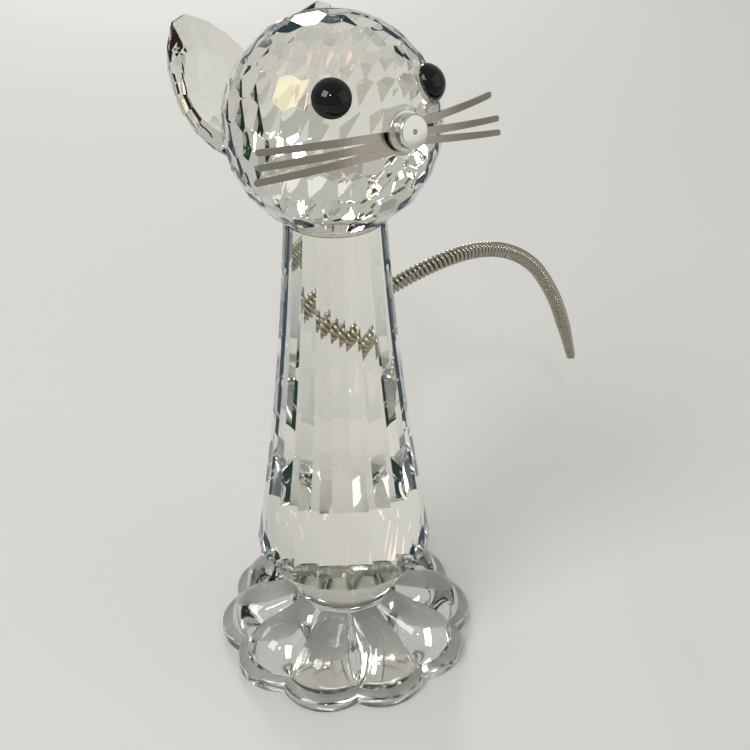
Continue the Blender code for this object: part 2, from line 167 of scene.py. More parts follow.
class EyeSettings(bpy.types.PropertyGroup):
    radius: FloatProperty(name="Radius", description="Radius of each eye", default=0.0017, unit="LENGTH")
    edge: FloatProperty(name="Edge", description="Upright edge", default=0.00025, unit="LENGTH")
    dome: FloatProperty(name="Dome", description="Height of the dome", default=0.0011, unit="LENGTH")
    spread: FloatProperty(
        name="Spread", description="Turn from straight ahead", default=math.radians(36.2), subtype="ANGLE"
    )
    lift: FloatProperty(
        name="Lift", description="Angle above the middle", default=math.radians(29.0), subtype="ANGLE"
    )


class NoseSettings(bpy.types.PropertyGroup):
    lift: FloatProperty(
        name="Lift", description="Angle above the middle", default=math.radians(12.5), subtype="ANGLE"
    )
    radius: FloatProperty(name="Radius", description="Radius of the stud", default=0.00148, unit="LENGTH")
    length: FloatProperty(name="Length", description="From seat to face", default=0.00145, unit="LENGTH")
    flange_radius: FloatProperty(
        name="Flange radius", description="Radius of its flange", default=0.00175, unit="LENGTH"
    )
    flange: FloatProperty(name="Flange", description="Thickness of flange", default=0.00035, unit="LENGTH")
    rounding: FloatProperty(name="Rounding", description="Edge rounding", default=0.00025, unit="LENGTH")
    dimple: FloatProperty(name="Dimple", description="Radius of centre hole", default=0.00022, unit="LENGTH")
    dimple_depth: FloatProperty(name="Dimple depth", description="Its depth", default=0.0003, unit="LENGTH")


class WhiskerSettings(bpy.types.PropertyGroup):
    thickness: FloatProperty(name="Sheet", description="Sheet thickness", default=0.00025, unit="LENGTH")
    hub: FloatProperty(name="Hub", description="Radius of the middle disc", default=0.0015, unit="LENGTH")
    drop: FloatProperty(name="Drop", description="Disc below the nose's axis", default=0.0006, unit="LENGTH")
    root_width: FloatProperty(name="Root width", description="At the hub", default=0.00072, unit="LENGTH")
    tip_width: FloatProperty(name="Tip width", description="At the tip", default=0.00055, unit="LENGTH")
    root_step: FloatProperty(name="Root step", description="Between blades", default=0.00058, unit="LENGTH")
    root_skew: FloatProperty(
        name="Root skew", description="Blades on the cat's left leave the disc higher", default=0.00025,
        unit="LENGTH",
    )
    setback: FloatProperty(name="Setback", description="Tips bent back by", default=0.0024, unit="LENGTH")
    left_reach: FloatVectorProperty(
        name="Left reach", description="Upper, middle and lower tips, to the side",
        default=(0.01225, 0.01305, 0.01315), unit="LENGTH",
    )
    left_rise: FloatVectorProperty(
        name="Left rise", description="Upper, middle and lower tips, upwards",
        default=(0.00188, -0.00037, -0.00168), unit="LENGTH",
    )
    right_reach: FloatVectorProperty(
        name="Right reach", description="Upper, middle and lower tips, to the side",
        default=(0.01285, 0.01295, 0.0133), unit="LENGTH",
    )
    right_rise: FloatVectorProperty(
        name="Right rise", description="Upper, middle and lower tips, upwards",
        default=(0.00062, -0.0006, -0.00175), unit="LENGTH",
    )


class EarSettings(bpy.types.PropertyGroup):
    length: FloatProperty(name="Length", description="Point to point", default=0.0163, unit="LENGTH")
    width: FloatProperty(name="Width", description="Across the leaf", default=0.0089, unit="LENGTH")
    thickness: FloatProperty(name="Thickness", description="Front to back", default=0.0028, unit="LENGTH")
    girdle: FloatProperty(name="Girdle", description="Upright edge", default=0.0006, unit="LENGTH")
    table: FloatProperty(name="Table", description="Table's share of the outline", default=0.56)
    blunt: FloatProperty(name="Blunting", description="Ground off each point", default=0.0005, unit="LENGTH")
    drop: FloatProperty(
        name="Drop", description="Seat's slope below level", default=math.radians(18.2), subtype="ANGLE"
    )
    splay: FloatProperty(
        name="Splay", description="Lean away from upright", default=math.radians(22.8), subtype="ANGLE"
    )
    aside: FloatProperty(name="Aside", description="Centre to the side", default=0.00505, unit="LENGTH")
    rise: FloatProperty(name="Rise", description="Centre above the middle", default=0.00427, unit="LENGTH")


class TailSettings(bpy.types.PropertyGroup):
    radius: FloatProperty(name="Coil radius", description="Outside radius", default=0.00093, unit="LENGTH")
    tip_radius: FloatProperty(name="Tip radius", description="At the tip", default=0.0006, unit="LENGTH")
    taper_start: FloatProperty(name="Taper start", description="Share of the length", default=0.88)
    wire: FloatProperty(name="Wire", description="Wire diameter", default=0.00051, unit="LENGTH")
    pitch: FloatProperty(name="Pitch", description="Distance between turns", default=0.00057, unit="LENGTH")
    socket: FloatProperty(name="Socket", description="Depth inside the body", default=0.002, unit="LENGTH")
    pieces: IntProperty(name="Lengths", description="Lengths that it bends between", default=10, min=2)
    root_share: FloatProperty(name="Root share", description="First free length's share", default=0.55)


class FinishSettings(bpy.types.PropertyGroup):
    crystal: FloatVectorProperty(
        name="Crystal", description="Tint of the cut crystal", default=linear("F7F6F0")[:3], subtype="COLOR"
    )
    pressed: FloatVectorProperty(
        name="Pressed", description="Tint of the pressed foot", default=linear("FCFCFA")[:3], subtype="COLOR"
    )
    floor: FloatVectorProperty(
        name="Floor", description="Pale floor", default=linear("CFCECB")[:3], subtype="COLOR"
    )


SETTINGS = {
    "cat_foot": FootSettings,
    "cat_body": BodySettings,
    "cat_head": HeadSettings,
    "cat_eyes": EyeSettings,
    "cat_nose": NoseSettings,
    "cat_whiskers": WhiskerSettings,
    "cat_ears": EarSettings,
    "cat_tail": TailSettings,
    "cat_finish": FinishSettings,
}

# Points that the tail's middle line passes, from the body's surface to the tip.
TAIL_ROUTE_MM = (
    (0.0, 8.5, 21.4),
    (0.8, 11.1, 25.0),
    (3.5, 11.1, 31.0),
    (9.4, 8.5, 36.6),
    (18.4, 6.5, 39.9),
    (26.3, 7.0, 38.9),
    (33.2, 8.0, 34.9),
    (38.3, 8.8, 28.8),
    (42.3, 9.9, 21.9),
    (45.8, 11.2, 14.9),
)
TAIL_SAMPLES = 400


# ---- materials

def add_node(tree, kind, **values):
    """Adds a node: a value whose name is a setting is set, and any other fills the socket of that name."""
    node = tree.nodes.new(kind)
    for key, value in values.items():
        if hasattr(node, key):
            setattr(node, key, value)
        else:
            node.inputs[key.replace("_", " ")].default_value = value
    return node


def shader_of(name, colour, roughness, **values):
    """The material of that name and, only when it has just been made, its tree and Principled shader."""
    material = bpy.data.materials.get(name)
    if material:
        return material, None, None
    material = bpy.data.materials.new(name)
    material.use_nodes = True
    tree = material.node_tree
    shader = tree.nodes["Principled BSDF"]
    shader.inputs["Base Color"].default_value = colour
    shader.inputs["Roughness"].default_value = roughness
    for key, value in values.items():
        shader.inputs[key.replace("_", " ")].default_value = value
    return material, tree, shader


def uneven_gloss(tree, shader, grain, smoothest, roughest):
    """Roughness that wanders between two values over patches of the grain's size, as handling leaves it."""
    low, high = NOISE_RANGE
    place = add_node(tree, "ShaderNodeTexCoord")
    wear = add_node(tree, "ShaderNodeTexNoise", Scale=1 / grain, Detail=3.0)
    spread = add_node(
        tree, "ShaderNodeMapRange", From_Min=low, From_Max=high, To_Min=smoothest, To_Max=roughest
    )
    tree.links.new(place.outputs["Object"], wear.inputs["Vector"])
    tree.links.new(wear.outputs["Fac"], spread.inputs["Value"])
    tree.links.new(spread.outputs["Result"], shader.inputs["Roughness"])


def uneven_surface(tree, shader, grain, detail, strength, depth):
    """Shallow hills and hollows, as far apart as the grain and this deep."""
    place = add_node(tree, "ShaderNodeTexCoord")
    hills = add_node(tree, "ShaderNodeTexNoise", Scale=1 / grain, Detail=detail)
    bump = add_node(tree, "ShaderNodeBump", Strength=strength, Distance=depth)
    tree.links.new(place.outputs["Object"], hills.inputs["Vector"])
    tree.links.new(hills.outputs["Fac"], bump.inputs["Height"])
    tree.links.new(bump.outputs["Normal"], shader.inputs["Normal"])


def lead_crystal():
    """Lead crystal, cut on a wheel and polished: very clear, sharp reflections, a trace of haze.

    A film 430 nanometres thick gives the faint warm flashes that real crystal gets by splitting light.
    """
    tint = (*bpy.context.scene.cat_finish.crystal, 1.0)
    material, tree, shader = shader_of(
        "lead crystal", tint, 0.0,
        Transmission_Weight=1.0, IOR=1.56, Thin_Film_Thickness=430.0, Thin_Film_IOR=1.42,
    )
    if tree:
        uneven_gloss(tree, shader, 2.0 * MM, 0.0, 0.03)
    return material


def pressed_crystal():
    """The same glass pressed in a mould and fire-polished: faint ripples on its surface."""
    tint = (*bpy.context.scene.cat_finish.pressed, 1.0)
    material, tree, shader = shader_of("pressed crystal", tint, 0.02, Transmission_Weight=1.0, IOR=1.55)
    if tree:
        uneven_surface(tree, shader, 2.5 * MM, 1.0, 0.12, 20 * MICRON)
    return material


def black_glass():
    """Opaque black glass, dropped hot into a dome and fire-polished."""
    material, tree, shader = shader_of(
        "black glass", linear("020203"), 0.04, IOR=1.52, Specular_IOR_Level=0.3
    )
    if tree:
        uneven_gloss(tree, shader, 0.8 * MM, 0.03, 0.07)
    return material


def plated_metal(name, tone, roughness, grain):
    """Nickel plate: even and bright, with the faint wear marks of handling in its gloss."""
    material, tree, shader = shader_of(name, linear(tone), roughness, Metallic=1.0)
    if tree:
        uneven_gloss(tree, shader, grain, roughness * 0.9, roughness * 1.12)
    return material


def clear_glue():
    """Clear cured adhesive film, of nearly the same index as the glass it joins, so that it hardly shows."""
    material, tree, shader = shader_of(
        "clear adhesive", linear("F4F4F0"), 0.05, Transmission_Weight=1.0, IOR=1.54
    )
    if tree:
        uneven_gloss(tree, shader, 1.0 * MM, 0.02, 0.08)
    return material


def studio_paper():
    """Matt pale studio paper, with a very faint tooth."""
    colour = (*bpy.context.scene.cat_finish.floor, 1.0)
    material, tree, shader = shader_of("studio paper", colour, 0.85)
    if tree:
        uneven_surface(tree, shader, 1.2 * MM, 2.0, 0.05, 30 * MICRON)
    return material


# ---- modelling helpers

def finish_mesh(bm, name, material, crease=None):
    """Object from a bmesh. Below the crease angle, edges are shaded smooth; with none, it stays flat."""
    bmesh.ops.recalc_face_normals(bm, faces=bm.faces)
    if crease is not None:
        for face in bm.faces:
            face.smooth = True
        for edge in bm.edges:
            if len(edge.link_faces) == 2 and edge.calc_face_angle() > crease:
                edge.smooth = False
    mesh = bpy.data.meshes.new(name)
    bm.to_mesh(mesh)
    bm.free()
    return finish_object(mesh, name, material)


def placed(data, name):
    obj = bpy.data.objects.new(name, data)
    bpy.context.scene.collection.objects.link(obj)
    return obj


def finish_object(data, name, material):
    obj = placed(data, name)
    obj.data.materials.append(material)
    return obj


def ease_edges(obj, width, angle):
    """The narrow polished rounding that catches light along each edge sharper than the angle."""
    bevel = obj.modifiers.new("eased edges", "BEVEL")
    bevel.width = width
    bevel.segments = 2
    bevel.limit_method = "ANGLE"
    bevel.angle_limit = angle


def combine(obj, other, operation):
    """Adds a modifier that joins the other object to this one or cuts it away."""
    step = obj.modifiers.new(other.name, "BOOLEAN")
    step.operation = operation
    step.solver = "EXACT"
    step.object = other


def apply_modifiers(obj):
    graph = bpy.context.evaluated_depsgraph_get()
    made = bpy.data.meshes.new_from_object(obj.evaluated_get(graph))
    obj.modifiers.clear()
    obj.data = made


def grind(bm, direction, distance):
    """Grinds one flat, square to the direction's Z and this far from the middle."""
    normal = (direction.to_3x3() @ Vector((0.0, 0.0, 1.0))).normalized()
    geometry = list(bm.verts) + list(bm.edges) + list(bm.faces)
    bmesh.ops.bisect_plane(
        bm, geom=geometry, dist=1e-8, plane_co=normal * distance, plane_no=normal, clear_outer=True
    )
    rim = [edge for edge in bm.edges if edge.is_boundary]
    if rim:
        bmesh.ops.contextual_create(bm, geom=rim)


def stacked_mesh(rings):
    """Closed mesh over rings of equally many points, from the top ring to the bottom one, with flat ends."""
    bm = bmesh.new()
    laid = [[bm.verts.new(point) for point in ring] for ring in rings]
    for upper, lower in zip(laid, laid[1:]):
        for index in range(len(upper)):
            following = (index + 1) % len(upper)
            bm.faces.new((upper[index], lower[index], lower[following], upper[following]))
    bm.faces.new(laid[0])
    bm.faces.new(list(reversed(laid[-1])))
    return bm


def turned_mesh(profile, steps):
    """Closed mesh of revolution about Z from (radius, height) pairs that start and end on the axis."""
    bm = bmesh.new()
    chain = [bm.verts.new((radius, 0.0, height)) for radius, height in profile]
    edges = [bm.edges.new(pair) for pair in zip(chain, chain[1:])]
    bmesh.ops.spin(
        bm, geom=chain + edges, cent=(0.0, 0.0, 0.0), axis=(0.0, 0.0, 1.0), angle=math.tau,
        steps=steps, use_merge=True, use_duplicate=False,
    )
    bmesh.ops.remove_doubles(bm, verts=bm.verts, dist=MICRON)
    return bm


def polar(radius, angle):
    return radius * math.cos(angle), radius * math.sin(angle)


def arc(centre, radius, start, end, steps):
    """(radius, height) points round an arc in the profile's plane, angles from +X in degrees."""
    points = []
    for step in range(steps + 1):
        across, up = polar(radius, math.radians(start + (end - start) * step / steps))
        points.append((centre[0] + across, centre[1] + up))
    return points


def raised(distance):
    return Matrix.Translation((0.0, 0.0, distance))


def dress(obj, body, *nodes):
    """The piece rides on that body and stands for those frame nodes."""
    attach(obj, body)
    if nodes:
        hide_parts(*nodes)
    return obj


# ---- heights shared by the pieces

def body_seat(scene):
    return scene.cat_foot.height + GLUE_GAP


def body_top(scene):
    return body_seat(scene) + scene.cat_body.undercut + scene.cat_body.length


def body_radius(scene, height):
    body = scene.cat_body
    share = (body_top(scene) - height) / body.length
    straight = body.top_radius + (body.rim_radius - body.top_radius) * share
    return straight - body.waisting * share * (1.0 - share)


def head_matrix(scene):
    middle = Vector((0.0, 0.0, body_top(scene) + GLUE_GAP + scene.cat_head.neck_flat))
    return Matrix.Translation(middle) @ Matrix.Rotation(scene.cat_head.lean, 4, "Y")


def facing(turn_left, lift):
    """Frame whose +Z points out of the head, this far to the cat's left and above the middle."""
    return Matrix.Rotation(turn_left, 4, "Z") @ Matrix.Rotation(QUARTER_TURN - lift, 4, "X")


def nose_frame(scene):
    return facing(scene.cat_head.face_turn, scene.cat_nose.lift)


def eye_frame(scene, side):
    return facing(scene.cat_head.face_turn + side * scene.cat_eyes.spread, scene.cat_eyes.lift)


def ear_frame(scene):
    return facing(math.pi, -scene.cat_ears.drop)


# ---- pieces

class FIGURINE_OT_foot(bpy.types.Operator):
    """Pressed foot: scalloped edge, domed petals with sharp grooves, low hub"""

    bl_idname = "figurine.foot"
    bl_label = "Foot"

    columns = 28
    rings = 26
    # How far each ring stands out from the hub's seat or waist, and up from its top or collar.
    seat_edge = ((-0.30 * MM, 0.0), (-0.08 * MM, -0.06 * MM), (0.0, -0.25 * MM))
    collar_edge = ((0.25 * MM, -0.10 * MM), (0.10 * MM, -0.30 * MM))
    # Shares of the rim's width, from its outer edge inward, and of the rim's height above that edge.
    rim_profile = ((0.9, 1.0), (0.45, 0.85), (0.18, 0.45), (0.04, 0.12), (0.0, -0.25))
    bottom_chamfer = 0.12 * MM
    crease = math.radians(32.0)

    def lobe_edge(self, foot, turn):
        aside = foot.lobe_centre * math.sin(turn)
        return foot.lobe_centre * math.cos(turn) + math.sqrt(foot.lobe_radius**2 - aside**2)

    def petal_point(self, foot, turn, outward):
        half_pitch = math.pi / foot.petals
        radius = foot.waist + (self.lobe_edge(foot, turn) - foot.rim_width - foot.waist) * outward
        longest = self.lobe_edge(foot, 0.0) - foot.rim_width - foot.waist
        shoulder = (foot.lobe_centre - foot.waist) / longest
        if outward > shoulder:
            beyond = (outward - shoulder) / (1.0 - shoulder)
            crest = foot.rim_height + (foot.shoulder_height - foot.rim_height) * math.sqrt(1.0 - beyond**2)
        else:
            inward = 1.0 - outward / shoulder
            crest = foot.shoulder_height + (foot.inner_height - foot.shoulder_height) * inward
        valley = foot.valley_height + (foot.rim_height - foot.valley_height) * outward
        across = math.sqrt(max(1.0 - (turn / half_pitch) ** 2, 0.0))
        return radius, valley + (crest - valley) * across

    def execute(self, context):
        foot = context.scene.cat_foot
        half_pitch = math.pi / foot.petals
        turns = []
        for column in range(self.columns):
            turns.append(half_pitch * math.sin(QUARTER_TURN * (2 * column / self.columns - 1)))
        hub = [(foot.seat + out, foot.height + up) for out, up in self.seat_edge]
        hub += [(foot.waist + out, foot.collar_height + up) for out, up in self.collar_edge]
        petals = [[spot] * self.columns for spot in hub]
        for ring in range(self.rings + 1):
            outward = math.sin(QUARTER_TURN * ring / self.rings)
            petals.append([self.petal_point(foot, turn, outward) for turn in turns])
        rim = []
        for inward, share in self.rim_profile:
            height = foot.rim_edge + (foot.rim_height - foot.rim_edge) * share
            rim.append((foot.rim_width * inward, height))
        rim += [(0.0, self.bottom_chamfer), (self.bottom_chamfer, 0.0)]
        for inset, height in rim:
            petals.append([(self.lobe_edge(foot, turn) - inset, height) for turn in turns])
        rings = []
        for petal_ring in petals:
            rings.append([])
            for petal in range(foot.petals):
                for turn, (radius, height) in zip(turns, petal_ring):
                    angle = foot.turn + petal * 2 * half_pitch + turn
                    rings[-1].append((*polar(radius, angle), height))
        bm = stacked_mesh(rings)
        piece = finish_mesh(bm, "pressed_foot", pressed_crystal(), crease=self.crease)
        dress(piece, STILL_BODY, "scalloped_foot")
        return {"FINISHED"}


class FIGURINE_OT_body(bpy.types.Operator):
    """Cut column: flat strips that follow its hollow flare, an undercut and a socket for the tail"""

    bl_idname = "figurine.body"
    bl_label = "Body"

    rings = 24
    undercut_rings = 12
    per_facet = 4
    round_by = 0.25  # the undercut's share over which its flats turn into a round
    facet_angle = math.radians(10.0)
    eased = 0.05 * MM

    def socket_drill(self, scene):
        """A rod along the tail's first stretch, a glue film wider and deeper than the tail's foot."""
        points, _ = tail_line(scene)
        outward = (points[1] - points[0]).normalized()
        depth = scene.cat_tail.socket * 3
        middle = Matrix.Translation(points[0] + outward * (depth / 2 - GLUE_GAP))
        radius = scene.cat_tail.radius + GLUE_GAP
        bm = bmesh.new()
        bmesh.ops.create_cone(
            bm, cap_ends=True, segments=ROUND_STEPS // 2, depth=depth, radius1=radius, radius2=radius,
            matrix=middle @ outward.to_track_quat("Z", "Y").to_matrix().to_4x4(),
        )
        return finish_mesh(bm, "socket_drill", lead_crystal())

    def execute(self, context):
        scene = context.scene
        body = scene.cat_body
        top = body_top(scene)
        levels = [top - body.length * ring / self.rings for ring in range(self.rings + 1)]
        column = [(body_radius(scene, level), level, 0.0) for level in levels]
        drop = top - body.length - body_seat(scene)
        for step in range(1, self.undercut_rings + 1):
            share = step / self.undercut_rings
            radius = body.rim_radius + (body.seat_radius - body.rim_radius) * share
            column.append((radius, body_seat(scene) + drop * (1.0 - share), min(share / self.round_by, 1.0)))
        rings = []
        for radius, height, roundness in column:
            rings.append([])
            for index in range(body.facets * self.per_facet):
                strip, part = divmod(index, self.per_facet)
                start = Vector(polar(radius, body.turn + strip * math.tau / body.facets))
                end = Vector(polar(radius, body.turn + (strip + 1) * math.tau / body.facets))
                flat = start.lerp(end, part / self.per_facet)
                spot = flat.lerp(flat.normalized() * radius, roundness)
                rings[-1].append((*spot, height))
        piece = finish_mesh(stacked_mesh(rings), "cut_body", lead_crystal(), crease=self.facet_angle)
        cutter = self.socket_drill(scene)
        combine(piece, cutter, "DIFFERENCE")
        apply_modifiers(piece)
        bpy.data.objects.remove(cutter, do_unlink=True)
        ease_edges(piece, self.eased, self.facet_angle)
        dress(piece, STILL_BODY, "faceted_body")
        return {"FINISHED"}


class FIGURINE_OT_head(bpy.types.Operator):
    """Cut ball: rows of flat facets, with flats for the eyes, the nose, the ears and the neck"""

    bl_idname = "figurine.head"
    bl_label = "Head"

    # Each row's latitude in degrees and number of facets. Every other row is offset by half a facet.
    rows = ((0, 24), (15, 24), (30, 24), (45, 24), (60, 12), (75, 6))
    eased = 0.03 * MM
    facet_angle = math.radians(4.0)

    def execute(self, context):
        scene = context.scene
        head = scene.cat_head
        bm = bmesh.new()
        bmesh.ops.create_cube(bm, size=head.radius * 2)
        for row, (latitude, count) in enumerate(self.rows):
            offset = 0.5 if row % 2 else 0.0
            for side in (1, -1) if latitude else (1,):
                for index in range(count):
                    turn = (index + offset) * math.tau / count
                    grind(bm, facing(turn, math.radians(side * latitude)), head.radius)
        for side in (1, -1):
            grind(bm, eye_frame(scene, side), head.eye_seat)
        grind(bm, nose_frame(scene), head.face_seat)
        grind(bm, ear_frame(scene), head.ear_seat)
        grind(bm, Matrix.Rotation(-head.lean, 4, "Y") @ Matrix.Rotation(math.pi, 4, "X"), head.neck_flat)
        piece = finish_mesh(bm, "cut_head", lead_crystal())
        piece.matrix_world = head_matrix(scene)
        ease_edges(piece, self.eased, self.facet_angle)
        dress(piece, STILL_BODY, "cut_ball_head")
        return {"FINISHED"}


class FIGURINE_OT_ears(bpy.types.Operator):
    """Two leaf stones, faceted on both sides, lying flat behind the ball"""

    bl_idname = "figurine.ears"
    bl_label = "Ears"

    side_points = 8
    eased = 0.04 * MM
    facet_angle = math.radians(8.0)

    def outline(self, ear):
        """Two arcs that meet in blunted points."""
        half_length = ear.length / 2
        half_width = ear.width / 2
        radius = (half_length**2 + half_width**2) / (2 * half_width)
        sweep = math.asin((half_length - ear.blunt) / radius)
        points = []
        for side in (1, -1):
            for step in range(self.side_points + 1):
                angle = side * sweep * (2 * step / self.side_points - 1)
                across = side * (radius * math.cos(angle) - (radius - half_width))
                points.append(Vector((across, radius * math.sin(angle))))
        return points

    def execute(self, context):
        scene = context.scene
        ear = scene.cat_ears
        outline = self.outline(ear)
        half = ear.thickness / 2
        levels = ((half, ear.table), (ear.girdle / 2, 1.0), (-ear.girdle / 2, 1.0), (-half, ear.table))
        rings = [[(*(point * share), height) for point in outline] for height, share in levels]
        for side, label in SIDES:
            piece = finish_mesh(stacked_mesh(rings), f"leaf_ear_{label}", lead_crystal())
            distance = scene.cat_head.ear_seat + GLUE_GAP + half
            centre = Matrix.Translation((-side * ear.aside, ear.rise, distance))
            splay = Matrix.Rotation(side * ear.splay, 4, "Z")
            piece.matrix_world = head_matrix(scene) @ ear_frame(scene) @ centre @ splay
            ease_edges(piece, self.eased, self.facet_angle)
            dress(piece, STILL_BODY, f"ear_{label}")
        return {"FINISHED"}


class FIGURINE_OT_eyes(bpy.types.Operator):
    """Two black domed stones"""

    bl_idname = "figurine.eyes"
    bl_label = "Eyes"

    dome_steps = 18
    crease = math.radians(35.0)

    def execute(self, context):
        scene = context.scene
        eyes = scene.cat_eyes
        radius = (eyes.radius**2 + eyes.dome**2) / (2 * eyes.dome)
        opening = math.degrees(math.asin(eyes.radius / radius))
        dome = arc((0.0, eyes.edge + eyes.dome - radius), radius, 90.0, 90.0 - opening, self.dome_steps)
        dome[0] = (0.0, dome[0][1])
        for side, label in SIDES:
            bm = turned_mesh(dome + [(eyes.radius, 0.0), (0.0, 0.0)], ROUND_STEPS)
            piece = finish_mesh(bm, f"black_eye_{label}", black_glass(), crease=self.crease)
            out = raised(scene.cat_head.eye_seat + GLUE_GAP)
            piece.matrix_world = head_matrix(scene) @ eye_frame(scene, side) @ out
            dress(piece, STILL_BODY, f"eye_{label}")
        return {"FINISHED"}


class FIGURINE_OT_nose(bpy.types.Operator):
    """Turned and plated stud with a flange and a small centre hole"""

    bl_idname = "figurine.nose"
    bl_label = "Nose"

    drill_point = 0.8  # the hole's width at its bottom, as a share of that at its mouth
    eased = 0.03 * MM
    flange_rounding = 0.08 * MM
    wear = 0.8 * MM
    crease = math.radians(35.0)

    def execute(self, context):
        scene = context.scene
        nose = scene.cat_nose
        top = nose.length
        bottom = top - nose.dimple_depth
        corner = (nose.radius - nose.rounding, top - nose.rounding)
        lip = (nose.flange_radius - self.flange_rounding, nose.flange - self.flange_rounding)
        profile = [(0.0, bottom), (nose.dimple * self.drill_point, bottom)]
        profile += [(nose.dimple, top - self.eased), (nose.dimple + self.eased, top)]
        profile += arc(corner, nose.rounding, 90.0, 0.0, 8)
        profile += [(nose.radius, nose.flange + self.eased), (nose.radius + self.eased, nose.flange)]
        profile += arc(lip, self.flange_rounding, 90.0, 0.0, 4)
        profile += [(nose.flange_radius, 0.0), (0.0, 0.0)]
        metal = plated_metal("polished nickel", "D9D8D4", 0.12, self.wear)
        piece = finish_mesh(turned_mesh(profile, ROUND_STEPS), "nose_metal", metal, crease=self.crease)
        distance = scene.cat_head.face_seat + scene.cat_whiskers.thickness + 2 * GLUE_GAP
        piece.matrix_world = head_matrix(scene) @ nose_frame(scene) @ raised(distance)
        dress(piece, STILL_BODY, "nose_stud")
        return {"FINISHED"}


class FIGURINE_OT_whiskers(bpy.types.Operator):
    """One stamped sheet: a small disc with three tapering blades on each side, bent round the ball"""

    bl_idname = "figurine.whiskers"
    bl_label = "Whiskers"

    steps = 28
    least_tip = 0.3  # how narrow the rounded end gets, as a share of the blade's width
    hub_zone = 0.01 * MM  # points this near the disc's middle belong to a blade's root
    wear = 0.25 * MM
    eased = 0.03 * MM
    stamped_angle = math.radians(40.0)

    def blade(self, setup, reach, rise, root_rise):
        """Strip of sheet along one blade, its end rounded, before it gets its thickness."""
        bm = bmesh.new()
        rows = []
        for step in range(self.steps + 1):
            share = math.sin(QUARTER_TURN * step / self.steps)
            width = setup.root_width + (setup.tip_width - setup.root_width) * share
            from_end = abs(reach) * (1.0 - share)
            if from_end < setup.tip_width / 2:
                ratio = 1.0 - from_end / (setup.tip_width / 2)
                width *= max(math.sqrt(1.0 - ratio * ratio), self.least_tip)
            middle = root_rise + (rise - root_rise) * share
            back = -setup.setback * share * share
            ends = [(reach * share, middle + half * width / 2, back) for half in (-1, 1)]
            rows.append([bm.verts.new(end) for end in ends])
        for first, second in zip(rows, rows[1:]):
            face = bm.faces.new((first[0], first[1], second[1], second[0]))
            face.normal_update()
            if face.normal.z < 0:
                face.normal_flip()
        return bm

    def thicken(self, obj, thickness):
        """Gives the strip its thickness, and lifts it if its root would start below the disc."""
        solid = obj.modifiers.new("sheet", "SOLIDIFY")
        solid.thickness = thickness
        solid.offset = 1.0
        apply_modifiers(obj)
        low = min(vertex.co.z for vertex in obj.data.vertices if abs(vertex.co.x) < self.hub_zone)
        if low < 0:
            obj.data.transform(raised(-low))

    def execute(self, context):
        scene = context.scene
        setup = scene.cat_whiskers
        metal = plated_metal("plated sheet", "A29D90", 0.19, self.wear)
        profile = [(0.0, setup.thickness), (setup.hub, setup.thickness), (setup.hub, 0.0), (0.0, 0.0)]
        spray = finish_mesh(turned_mesh(profile, ROUND_STEPS), "whisker_metal", metal)
        blades = []
        for side, reaches, rises in (
            (1, setup.left_reach, setup.left_rise),
            (-1, setup.right_reach, setup.right_rise),
        ):
            for index in range(3):
                root_rise = (1 - index) * setup.root_step + side * setup.root_skew
                bm = self.blade(setup, side * reaches[index], rises[index], root_rise)
                mesh = bpy.data.meshes.new("blade")
                bm.to_mesh(mesh)
                bm.free()
                blade = finish_object(mesh, f"blade_{side}_{index}", metal)
                self.thicken(blade, setup.thickness)
                combine(spray, blade, "UNION")
                blades.append(blade)
        apply_modifiers(spray)
        for blade in blades:
            bpy.data.objects.remove(blade, do_unlink=True)
        ease_edges(spray, self.eased, self.stamped_angle)
        out = Matrix.Translation((0.0, -setup.drop, scene.cat_head.face_seat + GLUE_GAP))
        spray.matrix_world = head_matrix(scene) @ nose_frame(scene) @ out
        dress(spray, STILL_BODY, "whisker_spray")
        return {"FINISHED"}


